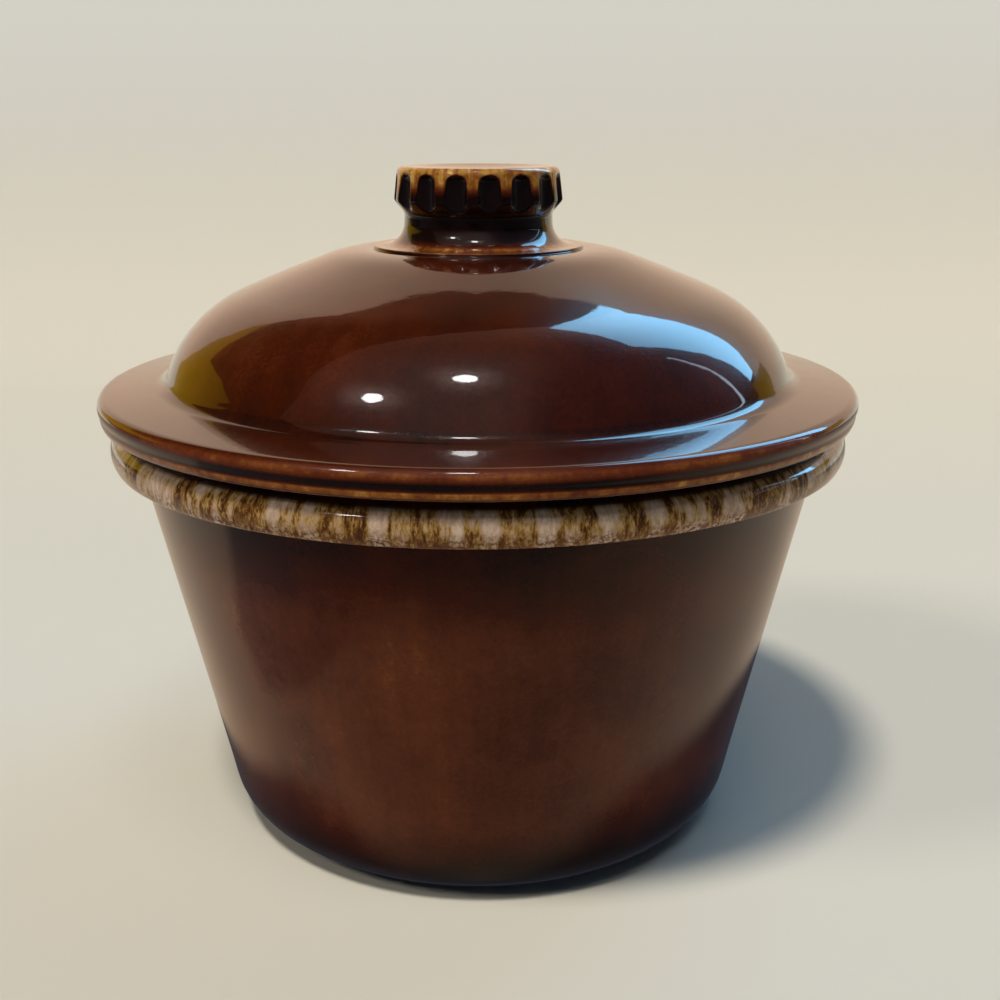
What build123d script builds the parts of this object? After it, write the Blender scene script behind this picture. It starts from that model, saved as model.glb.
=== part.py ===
"""Round stoneware casserole dish with a lift-off domed lid, in millimetres.

Two fired pieces: a tapered bowl with a thick rolled rim, and a domed lid with a wide flange,
a locating ring underneath and a short fluted knob. The origin is the centre of the foot, +Z up.
"""

from build123d import *
from math import atan2, cos, hypot, pi, sin, sqrt, tan
import os

# Bowl sizes
bowl_height = 118.0
wall_top_radius = 95.0
base_radius = 71.5
wall_thickness = 7.0
floor_thickness = 7.0
heel_radius = 16.0
floor_corner_radius = 13.0
foot_ring_width = 8.0
foot_recess_depth = 1.8
foot_edge_radius = 0.9

# Rolled rim sizes
rim_height = 11.6
rim_overhang = 7.5
rim_belly_height = 4.0
rim_bulge = 1.3
rim_top_run = 5.4
rim_top_drop = 4.4
rim_crest_radius = 4.0
rim_shoulder_radius = 2.2
rim_lower_edge_radius = 1.1
rim_neck_radius = 1.2
rim_mouth_radius = 2.6

# Lid flange and locating ring sizes
flange_overhang = 2.5
flange_edge_thickness = 7.2
flange_root_rise = 1.8
flange_belly_height = 4.4
flange_bulge = 1.1
flange_upper_edge_radius = 2.8
flange_lower_edge_radius = 0.8
ring_clearance = 1.4
ring_depth = 6.0
ring_width = 5.6
ring_edge_radius = 1.6
ring_root_radius = 1.0

# Dome sizes
dome_rise = 43.9
dome_pad_width = 7.4
pad_rounding_share = 0.8
dome_slope_radius = 500.0
dome_slope_offset = 129.8
dome_shoulder_radius = 37.0
dome_outset = 2.2
dome_root_radius = 4.0
dome_thickness = 7.0

# Knob sizes
knob_height = 21.7
knob_top_radius = 22.2
knob_collar_radius = 23.2
knob_collar_height = 9.0
knob_undercut_height = 3.4
knob_neck_radius = 20.4
knob_neck_spread = 0.4
knob_neck_fillet = 2.5
knob_flare_radius = 6.0
knob_base_lip = 2.6
knob_base_step = 0.7
knob_base_edge_radius = 0.3
knob_top_edge_radius = 1.8
knob_lower_edge_radius = 1.2
knob_dish_radius = 17.0
knob_dish_depth = 1.1
knob_core_radius = 10.0
knob_core_top_thickness = 9.0
knob_core_edge_radius = 3.0

# Flutes round the knob
flute_count = 16
flute_radius = 3.9
flute_depth = 2.0
flute_top_gap = 1.3
flute_top_radius = 2.4
flute_phase_degrees = 7.5
flute_edge_radius = 0.5

# Places that follow from the sizes
rim_bottom_z = bowl_height - rim_height
rim_outer_radius = wall_top_radius + rim_overhang
rim_top_inner_radius = rim_outer_radius - rim_top_run
rim_top_edge_z = bowl_height - rim_top_drop
wall_slope = (wall_top_radius - base_radius) / rim_bottom_z
heel_corner_radians = pi / 2 + atan2(wall_slope, 1)
foot_outer_radius = base_radius - heel_radius / tan(heel_corner_radians / 2)
foot_inner_radius = foot_outer_radius - foot_ring_width
floor_z = foot_recess_depth + floor_thickness
mouth_radius = wall_top_radius - wall_thickness
floor_radius = mouth_radius - wall_slope * (rim_bottom_z - floor_z)

seat_z = bowl_height
flange_radius = rim_outer_radius + flange_overhang
flange_edge_top_z = seat_z + flange_edge_thickness
flange_root_z = flange_edge_top_z + flange_root_rise
ring_outer_radius = mouth_radius - ring_clearance
ring_inner_radius = ring_outer_radius - ring_width
ring_bottom_z = seat_z - ring_depth
dome_radius = ring_outer_radius + dome_outset
pad_z = seat_z + dome_rise

knob_top_z = pad_z + knob_height
collar_bottom_z = knob_top_z - knob_collar_height
neck_top_z = collar_bottom_z - knob_undercut_height
base_top_z = pad_z + knob_base_step
neck_foot_radius = knob_neck_radius + knob_neck_spread
flare_radians = pi / 2 - atan2(knob_neck_spread, neck_top_z - base_top_z)
flare_width = knob_flare_radius * tan(flare_radians / 2)
knob_base_radius = neck_foot_radius + flare_width + knob_base_lip
pad_radius = knob_base_radius + dome_pad_width
core_top_z = knob_top_z - knob_core_top_thickness


def named_corner(sketch, corner):
    """The sketch's vertex nearest to a point given as radius and height."""
    return sketch.vertices().sort_by_distance((corner[0], corner[1], 0))[0]


def round_corners(sketch, corners):
    """Rounds each corner, given as its point and its radius."""
    for corner, radius in corners:
        sketch = fillet(named_corner(sketch, corner), radius)
    return sketch


def lathe(section):
    """Turns a section drawn as radius and height about the vertical axis."""
    return revolve(Plane.XZ * section, Axis.Z)


def bulged_face(widest_radius, widest_z, bulge, lower_z, upper_z):
    """Arc for an outer face that is widest at one height and lies back by bulge at its lower end."""
    drop = widest_z - lower_z
    curve_radius = (drop**2 + bulge**2) / (2 * bulge)
    upper_inset = curve_radius - sqrt(curve_radius**2 - (upper_z - widest_z) ** 2)
    lower = (widest_radius - bulge, lower_z)
    upper = (widest_radius - upper_inset, upper_z)
    return lower, (widest_radius, widest_z), upper


class Dome:
    """A level pad, a long slope arc and a tighter shoulder arc that the slope runs into smoothly.

    The slope arc's centre lies beyond the axis by slope_offset, which keeps the slope nearly straight.
    """

    def __init__(self, pad_z, slope_radius, shoulder_radius, widest_radius):
        self.pad_edge = (pad_radius, pad_z)
        self.slope_radius = slope_radius
        self.slope_z = pad_z - sqrt(slope_radius**2 - (pad_radius + dome_slope_offset) ** 2)
        self.shoulder_radius = shoulder_radius
        self.shoulder_offset = widest_radius - shoulder_radius
        reach = slope_radius - shoulder_radius
        across = self.shoulder_offset + dome_slope_offset
        self.shoulder_z = self.slope_z + sqrt(reach**2 - across**2)
        self.meeting_angle = atan2(self.shoulder_z - self.slope_z, across)
        self.pad_angle = atan2(pad_z - self.slope_z, pad_radius + dome_slope_offset)

    def pad_edge_radius(self):
        """Rounding that turns the pad into the slope within a share of the pad's width."""
        return dome_pad_width * pad_rounding_share / tan((pi / 2 - self.pad_angle) / 2)

    def shoulder_width(self, height):
        """Distance of the shoulder arc from the axis at a height."""
        rise = height - self.shoulder_z
        return self.shoulder_offset + sqrt(self.shoulder_radius**2 - rise**2)

    def shoulder_point(self, angle):
        """Point of the shoulder arc at an angle above level."""
        return (
            self.shoulder_offset + self.shoulder_radius * cos(angle),
            self.shoulder_z + self.shoulder_radius * sin(angle),
        )

    def slope_point(self, angle):
        """Point of the slope arc at an angle above level."""
        return (
            self.slope_radius * cos(angle) - dome_slope_offset,
            self.slope_z + self.slope_radius * sin(angle),
        )

    def edges(self, lowest_z):
        """Slope arc from the pad's edge outwards, then the shoulder arc down to lowest_z."""
        meeting = self.shoulder_point(self.meeting_angle)
        lowest = (self.shoulder_width(lowest_z), lowest_z)
        lowest_angle = atan2(lowest[1] - self.shoulder_z, lowest[0] - self.shoulder_offset)
        slope_middle = self.slope_point((self.pad_angle + self.meeting_angle) / 2)
        shoulder_middle = self.shoulder_point((self.meeting_angle + lowest_angle) / 2)
        return [
            ThreePointArc(self.pad_edge, slope_middle, meeting),
            ThreePointArc(meeting, shoulder_middle, lowest),
        ]


def make_bowl():
    """Tapered wall, rounded heel, recessed foot and a thick rolled rim that the lid rests on."""
    foot_inner = (foot_inner_radius, 0)
    recess_edge = (foot_inner_radius - foot_recess_depth, foot_recess_depth)
    heel = (base_radius, 0)
    rim_neck = (wall_top_radius, rim_bottom_z)
    rim_belly_z = rim_bottom_z + rim_belly_height
    rim_face = bulged_face(rim_outer_radius, rim_belly_z, rim_bulge, rim_bottom_z, rim_top_edge_z)
    rim_lower_edge, rim_belly, rim_shoulder = rim_face
    rim_crest = (rim_top_inner_radius, bowl_height)
    mouth = (mouth_radius, bowl_height)
    wall_foot = (mouth_radius, rim_bottom_z)
    floor_corner = (floor_radius, floor_z)
    bottom_middle = (0, foot_recess_depth)
    floor_middle = (0, floor_z)
    edges = [
        Polyline(bottom_middle, recess_edge, foot_inner, heel, rim_neck, rim_lower_edge),
        ThreePointArc(rim_lower_edge, rim_belly, rim_shoulder),
        Polyline(rim_shoulder, rim_crest, mouth, wall_foot, floor_corner, floor_middle, bottom_middle),
    ]
    section = round_corners(
        make_face(edges),
        [
            (recess_edge, foot_edge_radius),
            (foot_inner, foot_edge_radius),
            (heel, heel_radius),
            (rim_neck, rim_neck_radius),
            (rim_lower_edge, rim_lower_edge_radius),
            (rim_shoulder, rim_shoulder_radius),
            (rim_crest, rim_crest_radius),
            (mouth, rim_mouth_radius),
            (floor_corner, floor_corner_radius),
        ],
    )
    return lathe(section)


def make_lid_body():
    """Dome, flange, locating ring and knob, as one turned piece without its flutes."""
    outer = Dome(pad_z, dome_slope_radius, dome_shoulder_radius, dome_radius)
    inner = Dome(
        pad_z - dome_thickness,
        dome_slope_radius - dome_thickness,
        dome_shoulder_radius - dome_thickness,
        ring_inner_radius,
    )
    dish_middle = (0, knob_top_z - knob_dish_depth)
    dish_edge = (knob_dish_radius, knob_top_z)
    top_edge = (knob_top_radius, knob_top_z)
    collar_edge = (knob_collar_radius, collar_bottom_z)
    neck_top = (knob_neck_radius, neck_top_z)
    neck_bottom = (neck_foot_radius, base_top_z)
    base_edge = (knob_base_radius, base_top_z)
    base_foot = (knob_base_radius, pad_z)
    flange_root = (outer.shoulder_width(flange_root_z), flange_root_z)
    flange_belly_z = seat_z + flange_belly_height
    flange_face = bulged_face(flange_radius, flange_belly_z, flange_bulge, seat_z, flange_edge_top_z)
    flange_lower_edge, flange_belly, flange_upper_edge = flange_face
    ring_root = (ring_outer_radius, seat_z)
    ring_outer_edge = (ring_outer_radius, ring_bottom_z)
    ring_inner_edge = (ring_inner_radius, ring_bottom_z)
    inner_spring = (ring_inner_radius, inner.shoulder_z)
    core_edge = (knob_core_radius, core_top_z)
    core_mouth = (knob_core_radius, inner.pad_edge[1])

    dish_curve = knob_dish_radius**2 / (2 * knob_dish_depth) + knob_dish_depth / 2
    dish_middle_share = 0.5
    dish_along = knob_dish_radius * dish_middle_share
    dish_rise = dish_curve - sqrt(dish_curve**2 - dish_along**2)
    edges = [
        ThreePointArc(dish_middle, (dish_along, dish_middle[1] + dish_rise), dish_edge),
        Polyline(dish_edge, top_edge, collar_edge, neck_top, neck_bottom),
        Polyline(neck_bottom, base_edge, base_foot, outer.pad_edge),
        *outer.edges(flange_root_z),
        Polyline(flange_root, flange_upper_edge),
        ThreePointArc(flange_upper_edge, flange_belly, flange_lower_edge),
        Polyline(flange_lower_edge, ring_root, ring_outer_edge, ring_inner_edge, inner_spring),
        *inner.edges(inner.shoulder_z),
        Polyline(inner.pad_edge, core_mouth, core_edge, (0, core_top_z), dish_middle),
    ]
    section = round_corners(
        make_face(edges),
        [
            (top_edge, knob_top_edge_radius),
            (collar_edge, knob_lower_edge_radius),
            (neck_top, knob_neck_fillet),
            (neck_bottom, knob_flare_radius),
            (base_edge, knob_base_edge_radius),
            (outer.pad_edge, outer.pad_edge_radius()),
            (inner.pad_edge, inner.pad_edge_radius()),
            (flange_root, dome_root_radius),
            (flange_upper_edge, flange_upper_edge_radius),
            (flange_lower_edge, flange_lower_edge_radius),
            (ring_root, ring_root_radius),
            (ring_outer_edge, ring_edge_radius),
            (ring_inner_edge, ring_edge_radius),
            (core_edge, knob_core_edge_radius),
            (core_mouth, knob_core_edge_radius),
        ],
    )
    return lathe(section)


def make_flutes():
    """Cutters with rounded tops, standing in a ring round the knob's collar."""
    axis_radius = knob_collar_radius + flute_radius - flute_depth
    top_z = knob_top_z - flute_top_gap
    length = top_z - neck_top_z
    stem = Pos(0, 0, neck_top_z + length / 2) * Cylinder(flute_radius, length)
    cutter = fillet(stem.edges().group_by(Axis.Z)[-1], flute_top_radius)
    ring = PolarLocations(axis_radius, flute_count, start_angle=flute_phase_degrees)
    return [place * cutter for place in ring]


def is_flute_edge(edge):
    """True for the curved edges that the flutes leave on the knob's collar."""
    middle = edge.position_at(0.5)
    outside_neck = hypot(middle.X, middle.Y) > knob_neck_radius
    return edge.geom_type == GeomType.BSPLINE and middle.Z > neck_top_z and outside_neck


def make_lid():
    """The turned lid with its flutes cut into the knob and their edges softened as glaze does."""
    lid = make_lid_body() - make_flutes()
    return fillet(lid.edges().filter_by(is_flute_edge), flute_edge_radius)


def main():
    os.makedirs("parts", exist_ok=True)
    export_step(make_bowl(), "parts/bowl.step")
    export_step(make_lid(), "parts/lid.step")


main()
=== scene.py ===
"""Looks for the casserole dish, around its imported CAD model.

Both fired pieces are rebuilt as smooth turned meshes that stand exactly where the CAD has them: the bowl
with its streaked rim, and the domed lid with its fluted knob. Lengths are metres, in the CAD's frame.
"""

from math import atan2, cos, pi, radians, sin, sqrt, tan

import bpy
import numpy as np
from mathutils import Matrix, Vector


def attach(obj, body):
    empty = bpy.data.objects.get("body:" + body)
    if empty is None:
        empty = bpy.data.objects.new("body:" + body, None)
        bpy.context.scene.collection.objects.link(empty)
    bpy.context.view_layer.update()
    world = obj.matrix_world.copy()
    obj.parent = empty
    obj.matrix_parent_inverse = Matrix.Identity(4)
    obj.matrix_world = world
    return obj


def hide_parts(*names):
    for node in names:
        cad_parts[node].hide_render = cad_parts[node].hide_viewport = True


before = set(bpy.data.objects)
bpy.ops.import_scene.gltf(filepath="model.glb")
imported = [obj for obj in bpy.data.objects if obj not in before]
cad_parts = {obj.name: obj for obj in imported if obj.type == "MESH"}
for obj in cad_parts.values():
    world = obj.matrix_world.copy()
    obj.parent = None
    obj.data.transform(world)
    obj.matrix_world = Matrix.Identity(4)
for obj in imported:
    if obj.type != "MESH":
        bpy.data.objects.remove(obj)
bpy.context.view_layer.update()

MM = 0.001

# Bowl sizes, as in the CAD
BOWL_HEIGHT = 118.0 * MM
WALL_TOP_R = 95.0 * MM
BASE_R = 71.5 * MM
WALL_THICKNESS = 7.0 * MM
FLOOR_THICKNESS = 7.0 * MM
HEEL_RADIUS = 16.0 * MM
FLOOR_CORNER_RADIUS = 13.0 * MM
FOOT_RING_WIDTH = 8.0 * MM
FOOT_RECESS = 1.8 * MM
FOOT_EDGE_RADIUS = 0.9 * MM
RIM_HEIGHT = 11.6 * MM
RIM_OVERHANG = 7.5 * MM
RIM_BELLY_HEIGHT = 4.0 * MM
RIM_BULGE = 1.3 * MM
RIM_TOP_RUN = 5.4 * MM
RIM_TOP_DROP = 4.4 * MM
RIM_CREST_RADIUS = 4.0 * MM
RIM_SHOULDER_RADIUS = 2.2 * MM
RIM_LOWER_EDGE_RADIUS = 1.1 * MM
RIM_NECK_RADIUS = 1.2 * MM
RIM_MOUTH_RADIUS = 2.6 * MM

# Lid sizes, as in the CAD
FLANGE_OVERHANG = 2.5 * MM
FLANGE_EDGE = 7.2 * MM
FLANGE_ROOT_RISE = 1.8 * MM
FLANGE_BELLY_HEIGHT = 4.4 * MM
FLANGE_BULGE = 1.1 * MM
FLANGE_UPPER_EDGE_RADIUS = 2.8 * MM
FLANGE_LOWER_EDGE_RADIUS = 0.8 * MM
RING_CLEARANCE = 1.4 * MM
RING_DEPTH = 6.0 * MM
RING_WIDTH = 5.6 * MM
RING_EDGE_RADIUS = 1.6 * MM
RING_ROOT_RADIUS = 1.0 * MM
DOME_RISE = 43.9 * MM
DOME_PAD_WIDTH = 7.4 * MM
PAD_ROUNDING_SHARE = 0.8
DOME_SLOPE_RADIUS = 500.0 * MM
DOME_SLOPE_OFFSET = 129.8 * MM
DOME_SHOULDER_RADIUS = 37.0 * MM
DOME_OUTSET = 2.2 * MM
DOME_ROOT_RADIUS = 4.0 * MM
DOME_THICKNESS = 7.0 * MM

# Knob sizes, as in the CAD
KNOB_HEIGHT = 21.7 * MM
KNOB_TOP_R = 22.2 * MM
KNOB_COLLAR_R = 23.2 * MM
KNOB_COLLAR_HEIGHT = 9.0 * MM
KNOB_UNDERCUT = 3.4 * MM
KNOB_NECK_R = 20.4 * MM
KNOB_NECK_SPREAD = 0.4 * MM
KNOB_NECK_FILLET = 2.5 * MM
KNOB_FLARE_RADIUS = 6.0 * MM
KNOB_BASE_LIP = 2.6 * MM
KNOB_BASE_STEP = 0.7 * MM
KNOB_BASE_EDGE_RADIUS = 0.3 * MM
KNOB_TOP_EDGE_RADIUS = 1.8 * MM
KNOB_LOWER_EDGE_RADIUS = 1.2 * MM
KNOB_DISH_R = 17.0 * MM
KNOB_DISH_DEPTH = 1.1 * MM
KNOB_CORE_R = 10.0 * MM
KNOB_CORE_TOP = 9.0 * MM
KNOB_CORE_EDGE_RADIUS = 3.0 * MM
FLUTES = 16
FLUTE_RADIUS = 3.9 * MM
FLUTE_DEPTH = 2.0 * MM
FLUTE_TOP_GAP = 1.3 * MM
FLUTE_TOP_RADIUS = 2.4 * MM
FLUTE_PHASE = radians(7.5)
FLUTE_SOFTNESS = 0.55 * MM

# A line pressed round the flange's edge, above its lower lip
GROOVE_HEIGHT = 2.7 * MM
GROOVE_WIDTH = 0.75 * MM
GROOVE_DEPTH = 0.35 * MM

# The bowl's slightly uneven wall, set back a little, above the foot and outside a radius
WALL_WAVE = 0.10 * MM
WALL_INSET = 0.12 * MM
WALL_ZONE = (8 * MM, 22 * MM)
WALL_INNER_R = WALL_TOP_R - WALL_THICKNESS * 5
# Its waves: how many, turns round the bowl, lengths along the outline, and seed
WALL_WAVES = (9, (1, 5), (90 * MM, 220 * MM), 11)

# Places that follow from the sizes
RIM_BOTTOM_Z = BOWL_HEIGHT - RIM_HEIGHT
RIM_R = WALL_TOP_R + RIM_OVERHANG
RIM_TOP_INNER_R = RIM_R - RIM_TOP_RUN
RIM_TOP_EDGE_Z = BOWL_HEIGHT - RIM_TOP_DROP
WALL_SLOPE = (WALL_TOP_R - BASE_R) / RIM_BOTTOM_Z
HEEL_ANGLE = pi / 2 + atan2(WALL_SLOPE, 1)
FOOT_OUTER_R = BASE_R - HEEL_RADIUS / tan(HEEL_ANGLE / 2)
FOOT_INNER_R = FOOT_OUTER_R - FOOT_RING_WIDTH
FLOOR_Z = FOOT_RECESS + FLOOR_THICKNESS
MOUTH_R = WALL_TOP_R - WALL_THICKNESS
FLOOR_R = MOUTH_R - WALL_SLOPE * (RIM_BOTTOM_Z - FLOOR_Z)
SEAT_Z = BOWL_HEIGHT
FLANGE_R = RIM_R + FLANGE_OVERHANG
FLANGE_TOP_Z = SEAT_Z + FLANGE_EDGE
FLANGE_ROOT_Z = FLANGE_TOP_Z + FLANGE_ROOT_RISE
RING_OUTER_R = MOUTH_R - RING_CLEARANCE
RING_INNER_R = RING_OUTER_R - RING_WIDTH
RING_BOTTOM_Z = SEAT_Z - RING_DEPTH
DOME_R = RING_OUTER_R + DOME_OUTSET
PAD_Z = SEAT_Z + DOME_RISE
KNOB_TOP_Z = PAD_Z + KNOB_HEIGHT
COLLAR_BOTTOM_Z = KNOB_TOP_Z - KNOB_COLLAR_HEIGHT
NECK_TOP_Z = COLLAR_BOTTOM_Z - KNOB_UNDERCUT
BASE_TOP_Z = PAD_Z + KNOB_BASE_STEP
NECK_FOOT_R = KNOB_NECK_R + KNOB_NECK_SPREAD
FLARE_TURN = pi / 2 - atan2(KNOB_NECK_SPREAD, NECK_TOP_Z - BASE_TOP_Z)
KNOB_BASE_R = NECK_FOOT_R + KNOB_FLARE_RADIUS * tan(FLARE_TURN / 2) + KNOB_BASE_LIP
PAD_R = KNOB_BASE_R + DOME_PAD_WIDTH
CORE_TOP_Z = KNOB_TOP_Z - KNOB_CORE_TOP

# How finely the meshes are cut
BOWL_SEGMENTS = 400
LID_SEGMENTS = 320
OUTLINE_STEP = 0.05 * MM
TURN_STEP = radians(9)
FINEST_ROW = 0.16 * MM
ROW_GROWTH = 0.22
BEND_WINDOW = 0.5 * MM
BEND_REACH = 0.6 * MM
FLUTE_EDGE_ANGLE = radians(8.1)
FLUTE_EDGE_REACH = radians(1.8)
FLUTE_CROWDING = 1.8
ANGLE_SAMPLES = 600
# Widest spacing of the mesh's rows
RIM_ROWS = 0.6 * MM
WALL_ROWS = 2.2 * MM
INSIDE_ROWS = 5 * MM
KNOB_ROWS = 0.36 * MM
DOME_ROWS = 2.4 * MM
UNDERSIDE_ROWS = 4.5 * MM
ROW_MARGIN = 1 * MM
UNDERSIDE_DEPTH = 1.2 * DOME_THICKNESS


# Outlines: lists of points as radius and height, from the axis round the section and back to the axis


def arc(centre, radius, start, end):
    """Points of a circular arc between two angles."""
    steps = max(3, int(abs(end - start) * radius / OUTLINE_STEP))
    angles = np.linspace(start, end, steps)
    return np.stack([centre[0] + radius * np.cos(angles), centre[1] + radius * np.sin(angles)], 1)


def bulged_face(widest_r, widest_z, bulge, start_z, end_z, lower_z):
    """Points of an outer face that is widest at one height and lies back by bulge at its lower end."""
    drop = widest_z - lower_z
    curve = (drop**2 + bulge**2) / (2 * bulge)
    centre = (widest_r - curve, widest_z)
    start = atan2(start_z - widest_z, sqrt(curve**2 - (start_z - widest_z) ** 2))
    end = atan2(end_z - widest_z, sqrt(curve**2 - (end_z - widest_z) ** 2))
    return arc(centre, curve, start, end)


class Dome:
    """A level pad's edge, a long slope arc and a tighter shoulder arc that the slope runs into."""

    def __init__(self, pad_z, slope, shoulder, widest):
        self.slope, self.shoulder = slope, shoulder
        across = PAD_R + DOME_SLOPE_OFFSET
        self.slope_z = pad_z - sqrt(slope**2 - across**2)
        self.pad_edge = (PAD_R, pad_z)
        self.pad_angle = atan2(pad_z - self.slope_z, across)
        self.offset = widest - shoulder
        across = self.offset + DOME_SLOPE_OFFSET
        self.shoulder_z = self.slope_z + sqrt((slope - shoulder) ** 2 - across**2)
        self.meeting = atan2(self.shoulder_z - self.slope_z, across)
        self.pad_edge_radius = DOME_PAD_WIDTH * PAD_ROUNDING_SHARE / tan((pi / 2 - self.pad_angle) / 2)

    def points(self, lowest_z):
        """Points from the pad's edge outwards and down to lowest_z."""
        lowest = np.arcsin((lowest_z - self.shoulder_z) / self.shoulder)
        slope = arc((-DOME_SLOPE_OFFSET, self.slope_z), self.slope, self.pad_angle, self.meeting)
        shoulder = arc((self.offset, self.shoulder_z), self.shoulder, self.meeting, lowest)
        return np.concatenate([slope, shoulder])


def lengths_along(path):
    """Distance along a path to each of its points."""
    return np.concatenate([[0], np.cumsum(np.linalg.norm(np.diff(path, axis=0), axis=1))])


def point_at(path, distances):
    """Points of a path at distances along it."""
    along = lengths_along(path)
    distances = np.clip(distances, 0, along[-1])
    return np.stack([np.interp(distances, along, path[:, k]) for k in range(2)], -1)


def join(*runs):
    """One path through points and arrays of points, without repeats."""
    path = np.concatenate([np.atleast_2d(np.array(run, float)) for run in runs])
    apart = np.linalg.norm(np.diff(path, axis=0), axis=1) > 1e-9
    return path[np.concatenate([[True], apart])]


def round_corner(path, corner, radius):
    """Rounds the path's corner nearest to a point with a circular arc."""
    along = lengths_along(path)
    nearest = int(np.argmin(np.linalg.norm(path - np.array(corner), axis=1)))
    here, place = path[nearest], along[nearest]
    probe = OUTLINE_STEP
    before = here - point_at(path, place - probe)
    after = point_at(path, place + probe) - here
    before, after = before / np.linalg.norm(before), after / np.linalg.norm(after)
    turn = np.arccos(np.clip(before @ after, -1, 1))
    reach = radius * tan(turn / 2)
    start, end = point_at(path, place - reach), point_at(path, place + reach)
    t = np.linspace(0, 1, max(8, int(radius * turn / OUTLINE_STEP)))[:, None]
    weight = cos(turn / 2)
    share = (1 - t) ** 2, 2 * weight * t * (1 - t), t**2
    bend = (share[0] * start + share[1] * here + share[2] * end) / sum(share)
    return join(path[along < place - reach], bend, path[along > place + reach])


def row_places(path, coarse):
    """Distances along a path at which the mesh has its rows, closer where the path bends."""
    even = np.arange(0, lengths_along(path)[-1], OUTLINE_STEP)
    points = point_at(path, even)
    heading = np.unwrap(np.arctan2(*np.gradient(points, axis=0).T[::-1]))
    bend = np.abs(np.gradient(heading, OUTLINE_STEP))
    width = int(BEND_WINDOW / OUTLINE_STEP)
    bend = np.convolve(bend, np.ones(width) / width, "same")
    step = np.clip(TURN_STEP / np.maximum(bend, 1), FINEST_ROW, coarse(points))
    for order in (range(1, len(step)), range(len(step) - 2, -1, -1)):
        for i in order:
            other = i - 1 if order.step == 1 else i + 1
            step[i] = min(step[i], step[other] + ROW_GROWTH * OUTLINE_STEP)
    count = np.concatenate([[0], np.cumsum(OUTLINE_STEP / step)])[:-1]
    rows = np.linspace(0, count[-1], int(round(count[-1])) + 1)
    places = np.interp(rows, count, even)
    places[-1] = lengths_along(path)[-1]
    return places


def bowl_outline():
    """The bowl's section, from under the foot, up the outside, over the rim and down the inside."""
    belly_z = RIM_BOTTOM_Z + RIM_BELLY_HEIGHT
    face = bulged_face(RIM_R, belly_z, RIM_BULGE, RIM_BOTTOM_Z, RIM_TOP_EDGE_Z, RIM_BOTTOM_Z)
    path = join(
        (0, FOOT_RECESS),
        (FOOT_INNER_R - FOOT_RECESS, FOOT_RECESS),
        (FOOT_INNER_R, 0),
        (BASE_R, 0),
        (WALL_TOP_R, RIM_BOTTOM_Z),
        face,
        (RIM_TOP_INNER_R, BOWL_HEIGHT),
        (MOUTH_R, BOWL_HEIGHT),
        (MOUTH_R, RIM_BOTTOM_Z),
        (FLOOR_R, FLOOR_Z),
        (0, FLOOR_Z),
    )
    for corner, radius in (
        ((FOOT_INNER_R - FOOT_RECESS, FOOT_RECESS), FOOT_EDGE_RADIUS),
        ((FOOT_INNER_R, 0), FOOT_EDGE_RADIUS),
        ((BASE_R, 0), HEEL_RADIUS),
        ((WALL_TOP_R, RIM_BOTTOM_Z), RIM_NECK_RADIUS),
        (face[0], RIM_LOWER_EDGE_RADIUS),
        (face[-1], RIM_SHOULDER_RADIUS),
        ((RIM_TOP_INNER_R, BOWL_HEIGHT), RIM_CREST_RADIUS),
        ((MOUTH_R, BOWL_HEIGHT), RIM_MOUTH_RADIUS),
        ((FLOOR_R, FLOOR_Z), FLOOR_CORNER_RADIUS),
    ):
        path = round_corner(path, corner, radius)
    return path


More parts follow.
